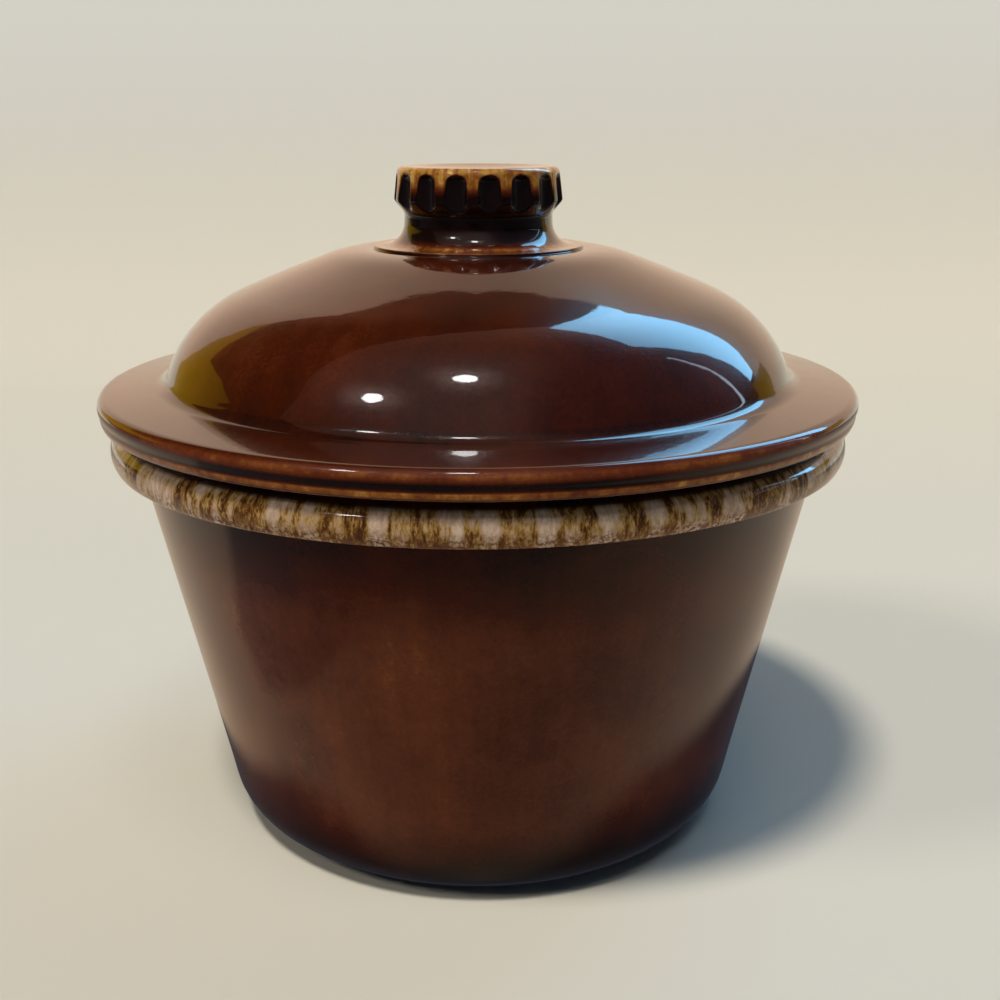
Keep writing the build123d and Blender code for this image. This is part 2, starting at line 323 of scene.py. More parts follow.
def lid_outline():
    """The lid's section, from the knob's top, down the outside, round the ring and up the inside."""
    outer = Dome(PAD_Z, DOME_SLOPE_RADIUS, DOME_SHOULDER_RADIUS, DOME_R)
    inner = Dome(
        PAD_Z - DOME_THICKNESS,
        DOME_SLOPE_RADIUS - DOME_THICKNESS,
        DOME_SHOULDER_RADIUS - DOME_THICKNESS,
        RING_INNER_R,
    )
    dish = (KNOB_DISH_R**2 + KNOB_DISH_DEPTH**2) / (2 * KNOB_DISH_DEPTH)
    dish_angle = np.arcsin(KNOB_DISH_R / dish)
    dish_centre = (0, KNOB_TOP_Z - KNOB_DISH_DEPTH + dish)
    belly_z = SEAT_Z + FLANGE_BELLY_HEIGHT
    face = bulged_face(FLANGE_R, belly_z, FLANGE_BULGE, FLANGE_TOP_Z, SEAT_Z, SEAT_Z)
    dome = outer.points(FLANGE_ROOT_Z)
    inside = inner.points(inner.shoulder_z)[::-1]
    core_mouth = (KNOB_CORE_R, inner.pad_edge[1])
    path = join(
        arc(dish_centre, dish, -pi / 2, -pi / 2 + dish_angle),
        (KNOB_TOP_R, KNOB_TOP_Z),
        (KNOB_COLLAR_R, COLLAR_BOTTOM_Z),
        (KNOB_NECK_R, NECK_TOP_Z),
        (NECK_FOOT_R, BASE_TOP_Z),
        (KNOB_BASE_R, BASE_TOP_Z),
        (KNOB_BASE_R, PAD_Z),
        dome,
        face,
        (RING_OUTER_R, SEAT_Z),
        (RING_OUTER_R, RING_BOTTOM_Z),
        (RING_INNER_R, RING_BOTTOM_Z),
        inside,
        core_mouth,
        (KNOB_CORE_R, CORE_TOP_Z),
        (0, CORE_TOP_Z),
    )
    for corner, radius in (
        ((KNOB_TOP_R, KNOB_TOP_Z), KNOB_TOP_EDGE_RADIUS),
        ((KNOB_COLLAR_R, COLLAR_BOTTOM_Z), KNOB_LOWER_EDGE_RADIUS),
        ((KNOB_NECK_R, NECK_TOP_Z), KNOB_NECK_FILLET),
        ((NECK_FOOT_R, BASE_TOP_Z), KNOB_FLARE_RADIUS),
        ((KNOB_BASE_R, BASE_TOP_Z), KNOB_BASE_EDGE_RADIUS),
        (outer.pad_edge, outer.pad_edge_radius),
        (dome[-1], DOME_ROOT_RADIUS),
        (face[0], FLANGE_UPPER_EDGE_RADIUS),
        (face[-1], FLANGE_LOWER_EDGE_RADIUS),
        ((RING_OUTER_R, SEAT_Z), RING_ROOT_RADIUS),
        ((RING_OUTER_R, RING_BOTTOM_Z), RING_EDGE_RADIUS),
        ((RING_INNER_R, RING_BOTTOM_Z), RING_EDGE_RADIUS),
        (inner.pad_edge, inner.pad_edge_radius),
        (core_mouth, KNOB_CORE_EDGE_RADIUS),
        ((KNOB_CORE_R, CORE_TOP_Z), KNOB_CORE_EDGE_RADIUS),
    ):
        path = round_corner(path, corner, radius)
    return path


# Relief


def smooth_step(low, high, value):
    """0 below low, 1 above high and a smooth rise between."""
    t = np.clip((value - low) / (high - low), 0, 1)
    return t * t * (3 - 2 * t)


def ripple(angle, along, waves, turns, lengths, seed):
    """Smooth random relief from -1 to 1 that closes on itself round the axis."""
    rng = np.random.default_rng(seed)
    total = np.zeros(np.broadcast(angle, along).shape)
    for _ in range(waves):
        around = rng.integers(turns[0], turns[1] + 1)
        run = 2 * pi / rng.uniform(*lengths) * rng.choice([-1, 1])
        total += np.cos(around * angle + run * along + rng.uniform(0, 2 * pi))
    return total / sqrt(waves) / 2


def flute_surface(angle, height):
    """Radius of the flutes' scooped surface round the knob, and infinity between them."""
    centre = KNOB_COLLAR_R + FLUTE_RADIUS - FLUTE_DEPTH
    pitch = 2 * pi / FLUTES
    from_middle = (angle - FLUTE_PHASE + pitch / 2) % pitch - pitch / 2
    above = np.maximum(height - (KNOB_TOP_Z - FLUTE_TOP_GAP - FLUTE_TOP_RADIUS), 0)
    rounded = FLUTE_RADIUS - FLUTE_TOP_RADIUS + np.sqrt(np.maximum(FLUTE_TOP_RADIUS**2 - above**2, 0))
    reach = np.where(above < FLUTE_TOP_RADIUS, rounded, 0)
    room = reach**2 - (centre * np.sin(from_middle)) ** 2
    return np.where(room > 0, centre * np.cos(from_middle) - np.sqrt(np.maximum(room, 0)), np.inf)


def softer_of(a, b, softness):
    """The smaller of two radii, with a rounded change from one to the other."""
    b = np.minimum(b, a + 4 * softness)
    share = np.clip(0.5 + 0.5 * (b - a) / softness, 0, 1)
    return b + (a - b) * share - softness * share * (1 - share)


class Ware:
    """A turned piece: its outline, and how its surface leaves a true turned form."""

    # 1 for an outline that runs anticlockwise, and -1 for one that runs clockwise
    side = 1

    def __init__(self, path, segments, coarse):
        self.path = path
        self.segments = segments
        self.places = row_places(path, coarse)

    def angles(self):
        """Angles of the mesh's columns round the axis."""
        return np.arange(self.segments) * 2 * pi / self.segments

    def shift(self, angle, along, points):
        """How far the surface stands out from the true form, along its normal."""
        return np.zeros(np.broadcast(angle, along).shape)

    def carve(self, angle, points):
        """Radius of the surface at each point, where something is cut into it."""
        return points[..., 0]

    def surface(self, angle, along):
        """Points of the finished surface at angles and at distances along the outline."""
        points = point_at(self.path, along)
        ahead = point_at(self.path, along + OUTLINE_STEP) - point_at(self.path, along - OUTLINE_STEP)
        ahead /= np.maximum(np.linalg.norm(ahead, axis=-1, keepdims=True), 1e-12)
        shift = self.shift(angle, along, points)
        radius = self.carve(angle, points) + shift * ahead[..., 1] * self.side
        height = points[..., 1] - shift * ahead[..., 0] * self.side
        height = np.broadcast_to(height, radius.shape)
        return np.stack([radius * np.sin(angle), -radius * np.cos(angle), height], -1)

    def bend(self, angle, along):
        """How sharply the surface bulges, in 1/m: above 0 on edges and below 0 in hollows."""
        here = self.surface(angle, along)
        radius = np.maximum(np.hypot(here[..., 0], here[..., 1]), 4 * BEND_REACH)
        step = BEND_REACH / radius
        rows = self.surface(angle, along - BEND_REACH), self.surface(angle, along + BEND_REACH)
        columns = self.surface(angle - step, along), self.surface(angle + step, along)
        normal = np.cross(columns[1] - columns[0], rows[1] - rows[0]) * self.side
        normal /= np.maximum(np.linalg.norm(normal, axis=-1, keepdims=True), 1e-15)
        second = rows[0] + rows[1] + columns[0] + columns[1] - 4 * here
        return -(second * normal).sum(-1) / BEND_REACH**2


class Bowl(Ware):
    """The bowl, whose outline runs anticlockwise: outwards under it and up its outside."""

    def shift(self, angle, along, points):
        """A slightly uneven wall and rim, set back so that they stay within the CAD's."""
        radius, height = points[..., 0], points[..., 1]
        uneven = smooth_step(*WALL_ZONE, height) * (radius > WALL_INNER_R)
        waves = WALL_WAVE * ripple(angle, along, *WALL_WAVES)
        return uneven * (waves - WALL_INSET)


class Lid(Ware):
    """The lid, whose outline runs clockwise: outwards over it and back underneath."""

    side = -1

    def angles(self):
        """Angles of the columns, which crowd towards the edges of the flutes."""
        pitch = 2 * pi / FLUTES
        fine = np.linspace(0, pitch, ANGLE_SAMPLES)
        from_edge = np.abs(fine - pitch / 2) - FLUTE_EDGE_ANGLE
        density = 1 + FLUTE_CROWDING * np.exp(-((from_edge / FLUTE_EDGE_REACH) ** 2))
        share = np.concatenate([[0], np.cumsum(density[:-1])]) / density[:-1].sum()
        per_flute = self.segments // FLUTES
        spread = np.interp(np.arange(per_flute) / per_flute, share, fine)
        return (FLUTE_PHASE + pitch / 2 + np.arange(FLUTES)[:, None] * pitch + spread).ravel()

    def shift(self, angle, along, points):
        """The line pressed round the flange's edge."""
        radius, height = points[..., 0], points[..., 1]
        outside = (radius > FLANGE_R - 2 * FLANGE_BULGE) & (height > SEAT_Z)
        from_line = (height - SEAT_Z - GROOVE_HEIGHT) / GROOVE_WIDTH
        groove = -GROOVE_DEPTH * np.exp(-(from_line**2)) * outside
        return groove + np.zeros(np.broadcast(angle, along).shape)

    def carve(self, angle, points):
        """The knob's flutes."""
        radius, height = points[..., 0], points[..., 1]
        on_knob = (height > NECK_TOP_Z - KNOB_NECK_FILLET) & (radius > KNOB_NECK_R - KNOB_DISH_DEPTH)
        cut = softer_of(radius, flute_surface(angle, height), FLUTE_SOFTNESS)
        return np.where(on_knob, cut, radius)


# Meshes


def add_object(name, data):
    """An object in the scene, with its mesh, light or camera."""
    made = bpy.data.objects.new(name, data)
    bpy.context.scene.collection.objects.link(made)
    return made


def face_corners(rows, count):
    """Rows and columns of all the faces' corners: quads between the rings, and a fan at each end."""
    row, column = np.meshgrid(np.arange(1, rows - 2), np.arange(count), indexing="ij")
    row, column = row.ravel(), column.ravel()
    quads = [(row, column), (row, column + 1), (row + 1, column + 1), (row + 1, column)]
    fan = np.arange(count)
    first, last = np.zeros(count, int), np.full(count, rows - 1)
    start = [(first, fan), (first + 1, fan + 1), (first + 1, fan)]
    end = [(last - 1, fan), (last - 1, fan + 1), (last, fan)]
    return quads, start, end


def add_values(mesh, values, rows, count):
    """Puts values on the mesh's points: each ring's, and one at either end."""
    for key, value in values.items():
        value = np.broadcast_to(value, (rows, count) + value.shape[2:])
        flat = np.concatenate([value[:1, 0], value[1:-1].reshape(-1, *value.shape[2:]), value[-1:, 0]])
        kind, field = ("FLOAT_VECTOR", "vector") if flat.ndim == 2 else ("FLOAT", "value")
        attribute = mesh.attributes.new(key, kind, "POINT")
        attribute.data.foreach_set(field, flat.astype(np.float32).ravel())


def build(name, ware, values_of):
    """The piece's mesh, smooth, with its glaze values on the points and one flat map for its textures."""
    rows, count = len(ware.places), ware.segments
    along = ware.places[:, None]
    angle = ware.angles()[None, :]
    grid = ware.surface(angle, along)
    start, end = (grid[k].mean(0, keepdims=True) for k in (0, -1))
    points = np.concatenate([start, grid[1:-1].reshape(-1, 3), end])

    def index(row, column):
        """Number of a ring's point, or of the one point at either end."""
        inside = 1 + (row - 1) * count + column % count
        return np.where(row == 0, 0, np.where(row == rows - 1, len(points) - 1, inside))

    share = ware.places / ware.places[-1]
    faces, map_points = [], []
    for corners in face_corners(rows, count):
        corners = corners[:: ware.side]
        faces += np.stack([index(r, c) for r, c in corners], 1).tolist()
        places = [np.stack([c / count, share[r]], -1) for r, c in corners]
        map_points.append(np.stack(places, 1).reshape(-1, 2))
    mesh = bpy.data.meshes.new(name)
    mesh.from_pydata(points.tolist(), [], faces)
    layer = mesh.uv_layers.new(name="OFBake")
    layer.data.foreach_set("uv", np.concatenate(map_points).astype(np.float32).ravel())
    mesh.shade_smooth()
    add_values(mesh, values_of(ware, angle, along), rows, count)
    return add_object(name, mesh)


# Glaze thickness, from 0 where it thins to gold to 1 where it pools black, with painted shade added to it
# as extra depth

BOWL_GLAZE = 0.62
BOWL_EDGE_LOSS = 0.35
BOWL_HOLLOW_GAIN = 0.25
LID_GLAZE = 0.76
LID_EDGE_LOSS = 0.30
LID_HOLLOW_GAIN = 0.22
# How sharply the surface bends where the glaze thins or pools, in 1/m
BOWL_EDGE_BEND = (60, 900)
LID_EDGE_BEND = (150, 900)
HOLLOW_BEND = (60, 500)
# Painted shade: how much deeper and darker the glaze is made towards the right (+X), away from the light,
# and lighter towards the left
RIGHT_SIDE_PAINTED_SHADE = 0.06
# Painted shade: deeper, darker glaze below the rim's lower edge, where the rim shades the wall, and near
# the foot, where shade falls round it
UNDER_RIM_PAINTED_SHADE = 0.26
UNDER_RIM_PAINTED_SHADE_ZONE = (-28 * MM, -2 * MM)
FOOT_PAINTED_SHADE = 0.38
FOOT_PAINTED_SHADE_ZONE = (4 * MM, 28 * MM)
# Zones of the drip glaze: its lower edge, its upper edge, outwards from the wall, and its flecked part. The
# upper edge stops below the rim's top, so that the top, shaded by the flange, stays dark brown glaze as
# painted shade
DRIP_START = (-0.2 * MM, 0.5 * MM)
DRIP_END_BELOW_PAINTED_SHADE = (0.8 * MM, 1.9 * MM)
DRIP_OUTWARDS = (0 * MM, 1 * MM)
DRIP_FLECKS = (1 * MM, 5 * MM)
# Height over which the foot and the lid's ring turn from bare clay to glaze
BARE_ZONE = (0.1 * MM, 0.35 * MM)
# Glaze thickness at heights up the flange's edge, in millimetres above the seat. The dark band from 2.3 to
# 3.8 mm is partly glaze pooled in the pressed line and partly a painted reflection of the shaded floor
FLANGE_GLAZE_AND_SHADE = (
    (0.0, 0.86), (0.4, 0.66), (0.8, 0.38), (1.9, 0.38), (2.3, 0.80), (2.6, 0.96),
    (3.8, 0.98), (4.5, 0.66), (5.2, 0.50), (6.2, 0.50), (6.8, 0.66), (7.6, 0.78),
)
FLANGE_ZONE = (-3.6 * MM, -1.8 * MM)
# Glaze thickness at heights up the knob's foot and neck, in millimetres above the pad round it
NECK_GLAZE = (
    (0.0, 0.95), (0.4, 0.62), (0.8, 0.36), (1.3, 0.36),
    (1.8, 0.62), (2.6, 0.86), (3.6, 1.0), (9.0, 1.0),
)
NECK_INSET = 0.2 * MM
NECK_LIFT = 0.1 * MM
# The knob's collar: black in the flutes, and gold on the ridges between them
COLLAR_GLAZE = 1.0
RIDGE_LOSS = 0.78
RIDGE_CUT = (0.02 * MM, 0.30 * MM)
COLLAR_ZONE = (0.6 * MM, 5.5 * MM)
CROWN_INSET = 2 * MM
COLLAR_MARGIN = 1 * MM
CROWN_REACH = 4 * MM


def across(base, zone, value):
    """How far a value lies across a zone that is measured from a base, from 0 to 1."""
    return smooth_step(base + zone[0], base + zone[1], value)


def glaze_at(table, height):
    """Thickness from a table at a height."""
    places = np.array(table)
    return np.interp(height, places[:, 0] * MM, places[:, 1])


def streak_place(angle, along):
    """Where a point lies for the streaks: round a circle as wide as the rim, and along the outline."""
    flat = np.broadcast_to(along, np.broadcast(angle, along).shape)
    ring = np.broadcast_to(angle, flat.shape)
    return np.stack([RIM_R * np.sin(ring), -RIM_R * np.cos(ring), flat], -1)


def bowl_values(ware, angle, along):
    """Glaze thickness with painted shade under the rim, near the foot and towards the right, the rim's drip
    glaze, which stops below the rim's shaded top, its lower part and the bare foot, each from 0 to 1.
    """
    points = point_at(ware.path, along)
    radius, height = points[..., 0], points[..., 1]
    bend = ware.bend(angle, along)
    glaze_depth_and_shade = BOWL_GLAZE - BOWL_EDGE_LOSS * across(0, BOWL_EDGE_BEND, bend)
    glaze_depth_and_shade = glaze_depth_and_shade + BOWL_HOLLOW_GAIN * across(0, HOLLOW_BEND, -bend)
    # Painted shade: darker glaze under the rim's overhang and near the foot, and darker towards the right
    glaze_depth_and_shade = glaze_depth_and_shade + UNDER_RIM_PAINTED_SHADE * across(RIM_BOTTOM_Z, UNDER_RIM_PAINTED_SHADE_ZONE, height)
    glaze_depth_and_shade = glaze_depth_and_shade + FOOT_PAINTED_SHADE * (1 - across(0, FOOT_PAINTED_SHADE_ZONE, height)) + RIGHT_SIDE_PAINTED_SHADE * np.sin(angle)
    # The drip glaze stops below the rim's top, so that the top, under the flange, shows dark brown glaze as
    # painted shade
    drip = across(RIM_BOTTOM_Z, DRIP_START, height) * (1 - across(RIM_TOP_EDGE_Z, DRIP_END_BELOW_PAINTED_SHADE, height))
    return {
        "glaze_depth_and_shade": glaze_depth_and_shade,
        "drip": drip * across(WALL_TOP_R, DRIP_OUTWARDS, radius),
        "low": 1 - across(RIM_BOTTOM_Z, DRIP_FLECKS, height),
        "bare": 1 - across(0, BARE_ZONE, height),
        "streak": streak_place(angle, along),
    }


def lid_values(ware, angle, along):
    """Glaze thickness with painted shade towards the right and in a band on the flange's edge, and the bare
    edge of the ring that the lid was fired on, each from 0 to 1.
    """
    points = point_at(ware.path, along)
    radius, height = points[..., 0], points[..., 1]
    bend = ware.bend(angle, along)
    glaze_depth_and_shade = LID_GLAZE - LID_EDGE_LOSS * across(0, LID_EDGE_BEND, bend)
    # Painted shade: darker glaze towards the right, lighter towards the left
    glaze_depth_and_shade = glaze_depth_and_shade + LID_HOLLOW_GAIN * across(0, HOLLOW_BEND, -bend) + RIGHT_SIDE_PAINTED_SHADE * np.sin(angle)

    # The flange's edge follows its table, whose dark band is partly a painted reflection of the shaded
    # floor
    on_edge = across(FLANGE_R, FLANGE_ZONE, radius)
    glaze_depth_and_shade = glaze_depth_and_shade * (1 - on_edge) + glaze_at(FLANGE_GLAZE_AND_SHADE, height - SEAT_Z) * on_edge

    on_neck = (radius < KNOB_BASE_R - NECK_INSET) & (height > PAD_Z + NECK_LIFT)
    glaze_depth_and_shade = np.where(on_neck, glaze_at(NECK_GLAZE, height - PAD_Z), glaze_depth_and_shade)

    ridge = 1 - across(0, RIDGE_CUT, radius - ware.carve(angle, points))
    up_collar = across(COLLAR_BOTTOM_Z, COLLAR_ZONE, height)
    outwards = smooth_step(KNOB_DISH_R - CROWN_INSET, KNOB_TOP_R - CROWN_INSET, radius)
    on_knob = (height > COLLAR_BOTTOM_Z - COLLAR_MARGIN) & (height < KNOB_TOP_Z + COLLAR_MARGIN)
    on_collar = on_knob & (radius > KNOB_DISH_R - CROWN_REACH)
    collar_glaze = COLLAR_GLAZE - RIDGE_LOSS * ridge * up_collar * outwards
    glaze_depth_and_shade = np.where(on_collar, collar_glaze, glaze_depth_and_shade)
    return {
        "glaze_depth_and_shade": glaze_depth_and_shade,
        "drip": np.zeros_like(height),
        "low": np.zeros_like(height),
        "bare": 1 - across(RING_BOTTOM_Z, BARE_ZONE, height),
        "streak": streak_place(angle, along),
    }


# Materials


class Nodes:
    """The nodes of one tree, made one after another with short calls."""

    def __init__(self, tree):
        self.tree = tree

    def node(self, kind, settings=None, **inputs):
        """A node with its settings, and its inputs set or linked by name."""
        made = self.tree.nodes.new("ShaderNode" + kind)
        for key, value in (settings or {}).items():
            setattr(made, key, value)
        for key, value in inputs.items():
            self.put(made.inputs[key.replace("_", " ")], value)
        return made

    def put(self, socket, value):
        """Sets a socket, or links another node's output to it."""
        if isinstance(value, bpy.types.NodeSocket):
            self.tree.links.new(value, socket)
        else:
            socket.default_value = value

    def value(self, name, output="Fac"):
        """A value, or with Vector a place, that the mesh carries on its points."""
        return self.node("Attribute", {"attribute_name": name}).outputs[output]

    def math(self, operation, a, b):
        """Arithmetic on two values."""
        made = self.node("Math", {"operation": operation})
        self.put(made.inputs[0], a)
        self.put(made.inputs[1], b)
        return made.outputs[0]

    def noise(self, place, scale, detail, roughness, distortion=0.0):
        """Smooth noise from 0 to 1."""
        made = self.node("TexNoise", Scale=scale, Detail=detail, Roughness=roughness, Distortion=distortion)
        self.put(made.inputs["Vector"], place)
        return made.outputs["Fac"]

    def streaks(self, place, around, along, detail, roughness, distortion=0.0):
        """Noise drawn out into streaks, with one scale round the piece and one along its outline."""
        made = self.node("VectorMath", {"operation": "MULTIPLY"})
        self.put(made.inputs[0], place)
        self.put(made.inputs[1], (around, around, along))
        return self.noise(made.outputs[0], 1.0, detail, roughness, distortion)

    def swung(self, value, noise, swing):
        """A value that noise moves by up to half a swing either way."""
        offset = self.math("MULTIPLY", self.math("SUBTRACT", noise, 0.5), swing)
        return self.math("ADD", value, offset)

    def between(self, value, low, high, out_low=0.0, out_high=1.0):
        """Maps low..high to out_low..out_high, and stays within them."""
        ends = {"From_Min": low, "From_Max": high, "To_Min": out_low, "To_Max": out_high}
        made = self.node("MapRange", {"interpolation_type": "SMOOTHSTEP"}, Value=value, **ends)
        return made.outputs[0]

    def ramp(self, value, stops):
        """A colour that changes with a value through a list of stops."""
        made = self.node("ValToRGB")
        ramp = made.color_ramp
        while len(ramp.elements) < len(stops):
            ramp.elements.new(0.5)
        for element, (place, colour) in zip(ramp.elements, stops):
            element.position = place
            element.color = (*colour, 1)
        self.put(made.inputs[0], value)
        return made.outputs[0]

    def mix(self, share, a, b):
        """One colour over another."""
        made = self.node("Mix", {"data_type": "RGBA", "clamp_factor": True})
        self.put(made.inputs[0], share)
        self.put(made.inputs[6], (*a, 1) if isinstance(a, tuple) else a)
        self.put(made.inputs[7], (*b, 1) if isinstance(b, tuple) else b)
        return made.outputs[2]

    def bump(self, height, distance):
        """A normal that follows a height."""
        return self.node("Bump", Distance=distance, Height=height).outputs[0]

    def blend(self, share, shader, other):
        """Two shaders mixed, with a share of the other."""
        both = self.node("MixShader")
        for socket, value in zip(both.inputs, (share, shader.outputs[0], other.outputs[0])):
            self.put(socket, value)
        return both

    def surface(self, shader):
        """Gives the material's surface a shader."""
        self.put(self.node("OutputMaterial").inputs["Surface"], shader.outputs[0])


def new_material(name):
    """An empty material, and the nodes to be made in it."""
    material = bpy.data.materials.new(name)
    material.use_nodes = True
    material.node_tree.nodes.clear()
    return material, Nodes(material.node_tree)


PALE_GOLD = (0.78, 0.56, 0.27)
GOLDEN = (0.50, 0.26, 0.055)
AMBER = (0.25, 0.085, 0.014)
RUST = (0.115, 0.0255, 0.0080)
MAROON = (0.050, 0.0078, 0.0018)
BLACK_BROWN = (0.0075, 0.0028, 0.0024)
SOOT = (0.040, 0.016, 0.008)
UMBER = (0.105, 0.038, 0.009)
OCHRE = (0.27, 0.142, 0.034)
TAN = (0.40, 0.250, 0.105)
PINK = (0.43, 0.290, 0.200)
CREAM = (0.60, 0.450, 0.330)
RED_BROWN = (0.14, 0.045, 0.018)
BISQUE = (0.46, 0.33, 0.20)
DARK_BISQUE = tuple(0.7 * part for part in BISQUE)
BODY_GLOSS_TINT = (0.60, 0.52, 0.45)

# Colours by the brown glaze's depth, the drip glaze's tone and the bare clay's grain
BROWN_STOPS = (
    (0.04, PALE_GOLD), (0.16, GOLDEN), (0.34, AMBER),
    (0.52, RUST), (0.72, MAROON), (0.94, BLACK_BROWN),
)
DRIP_STOPS = ((0.10, SOOT), (0.24, UMBER), (0.38, OCHRE), (0.50, TAN), (0.64, PINK), (0.93, CREAM))
CLAY_STOPS = ((0.3, DARK_BISQUE), (0.7, BISQUE))
# Even noise: scale per metre, detail and roughness
CLOUD_NOISE = (30.0, 6.0, 0.62)
SPECK_NOISE = (900.0, 4.0, 0.7)
PATCH_NOISE = (330.0, 3.0, 0.6)
FLECK_NOISE = (950.0, 3.0, 0.7)
CLAY_NOISE = (2600.0, 3.0, 0.7)
PEEL_NOISE = (420.0, 2.0, 0.5)
GRAIN_NOISE = (2300.0, 2.0, 0.6)
ROUGHNESS_NOISE = (160.0, 3.0, 0.6)
# Streaks that run down: scale per metre round the piece and along its outline, detail and roughness
RUN_STREAKS = (180.0, 24.0, 3.0, 0.5)
# The drip glaze's streaks, from broad to fine: noise with distortion, contrast and weight
DRIP_STREAKS = (
    ((150.0, 55.0, 3.0, 0.6, 0.4), (0.39, 0.61), 0.50),
    ((620.0, 210.0, 4.0, 0.7, 0.3), (0.32, 0.68), 0.32),
    ((2000.0, 900.0, 3.0, 0.7), (0.30, 0.70), 0.18),
)
FLECK_CONTRAST = (0.42, 0.60)
# How far each noise swings the depth of the brown glaze
CLOUD_SWING = 0.50
RUN_SWING = 0.07
SPECK_SWING = 0.20
# The mottling: the runs' share of it, and its swing, which falls from thin glaze to thick
MOTTLE_RUN_SHARE = 0.45
MOTTLE_THICKNESS = (0.30, 0.68)
MOTTLE_SWING = (1.125, 0.0675)
# The coat's soft peel, and the fine grain of the body under it
PEEL_HEIGHT = 0.009 * MM
GRAIN_HEIGHT = 0.05 * MM
GLAZE_IOR = 1.5
BODY_GLOSS = 0.08
BODY_ROUGHNESS = (0.10, 0.16)
ROUGHNESS_CONTRAST = (0.3, 0.7)
CLAY_ROUGHER = 0.6
COAT_ROUGHNESS = 0.035
# The coat weighs more where the surface turns away from the eye
COAT_FACING = (0.12, 0.60)
COAT_WEIGHT = (0.28, 1.0)


def brown_glaze(n, place, streak):
    """The brown glaze, from pale gold where it is thin to nearly black where it is deep, its depth
    including painted shade.
    """
    glaze_depth_and_shade = n.value("glaze_depth_and_shade")
    runs = n.streaks(streak, *RUN_STREAKS)
    depth = n.swung(glaze_depth_and_shade, n.noise(place, *CLOUD_NOISE), CLOUD_SWING)
    depth = n.swung(depth, runs, RUN_SWING)
    depth = n.swung(depth, n.noise(place, *SPECK_NOISE), SPECK_SWING)
    patches = n.math("MULTIPLY", n.noise(place, *PATCH_NOISE), 1 - MOTTLE_RUN_SHARE)
    mottling = n.math("ADD", patches, n.math("MULTIPLY", runs, MOTTLE_RUN_SHARE))
    depth = n.swung(depth, mottling, n.between(glaze_depth_and_shade, *MOTTLE_THICKNESS, *MOTTLE_SWING))
    return n.ramp(depth, BROWN_STOPS)


def drip_glaze(n, place, streak):
    """The rim's streaked drip glaze, with red-brown flecks on its lower part."""
    tone = 0.0
    for noise, contrast, weight in DRIP_STREAKS:
        part = n.math("MULTIPLY", n.between(n.streaks(streak, *noise), *contrast), weight)
        tone = n.math("ADD", part, tone)
    flecks = n.between(n.noise(place, *FLECK_NOISE), *FLECK_CONTRAST)
    return n.mix(n.math("MULTIPLY", n.value("low"), flecks), n.ramp(tone, DRIP_STOPS), RED_BROWN)


def glaze_material(name):
    """Glossy brown glaze that thins to gold on edges, with a streaked drip glaze and bare stoneware."""
    material, n = new_material(name)
    place = n.node("TexCoord").outputs["Object"]
    streak = n.value("streak", "Vector")
    bare = n.value("bare")
    colour = n.mix(n.value("drip"), brown_glaze(n, place, streak), drip_glaze(n, place, streak))
    colour = n.mix(bare, colour, n.ramp(n.noise(place, *CLAY_NOISE), CLAY_STOPS))
    roughness = n.between(n.noise(place, *ROUGHNESS_NOISE), *ROUGHNESS_CONTRAST, *BODY_ROUGHNESS)
    facing = n.node("LayerWeight", Blend=0.5).outputs["Facing"]
    coat = n.between(facing, *COAT_FACING, *COAT_WEIGHT)
    shader = n.node(
        "BsdfPrincipled",
        Base_Color=colour,
        Roughness=n.math("ADD", roughness, n.math("MULTIPLY", bare, CLAY_ROUGHER)),
        Normal=n.bump(n.noise(place, *GRAIN_NOISE), GRAIN_HEIGHT),
        IOR=GLAZE_IOR,
        Specular_IOR_Level=BODY_GLOSS,
        Specular_Tint=(*BODY_GLOSS_TINT, 1),
        Coat_Weight=n.math("MULTIPLY", coat, n.math("SUBTRACT", 1.0, bare)),
        Coat_Roughness=COAT_ROUGHNESS,
        Coat_IOR=GLAZE_IOR,
        Coat_Normal=n.bump(n.noise(place, *PEEL_NOISE), PEEL_HEIGHT),
    )
    n.surface(shader)
    return material


# The pieces


def bowl_rows(points):
    """Widest row spacing at each point: coarser inside and under the bowl."""
    radius, height = points[:, 0], points[:, 1]
    wall_r = MOUTH_R - WALL_SLOPE * (RIM_BOTTOM_Z - height)
    inside = (height < RIM_BOTTOM_Z) & (radius < wall_r + ROW_MARGIN)
    rim = height > RIM_BOTTOM_Z - ROW_MARGIN
    return np.where(rim, RIM_ROWS, np.where(inside, INSIDE_ROWS, WALL_ROWS))


def lid_rows(points):
    """Widest row spacing at each point: finest on the knob, coarser underneath."""
    radius, height = points[:, 0], points[:, 1]
    knob = (height > NECK_TOP_Z - ROW_MARGIN) & (radius > KNOB_DISH_R)
    under = (radius < RING_INNER_R) & (height < PAD_Z - UNDERSIDE_DEPTH)
    return np.where(knob, KNOB_ROWS, np.where(under, UNDERSIDE_ROWS, DOME_ROWS))


glaze = glaze_material("BrownGlaze")
bowl_ware = build("bowl_ware", Bowl(bowl_outline(), BOWL_SEGMENTS, bowl_rows), bowl_values)
lid_ware = build("lid_ware", Lid(lid_outline(), LID_SEGMENTS, lid_rows), lid_values)
for piece, body in ((bowl_ware, "bowl"), (lid_ware, "lid")):
    piece.data.materials.append(glaze)
    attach(piece, body)
    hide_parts(body)


# Stage

FLOOR_COLOUR = (0.665, 0.635, 0.545)
CLOTH_LOOK = (0.655, 0.630, 0.560)
CLOTH_MIRRORED = (0.84, 0.60, 0.43)
FLOOR_MIRRORED = (0.50, 0.395, 0.29)
DARK_FLOOR = (0.11, 0.12, 0.135)
# Distances from the middle over which the mirrored floor darkens, and the seen floor turns plain
FLOOR_FADE = (0.30, 0.90)
FAR_FADE = (1.2, 2.4)
# Heights over which the cloth turns plain
CLOTH_FADE = (0.03, 0.30)

PAPER_R = 4.0
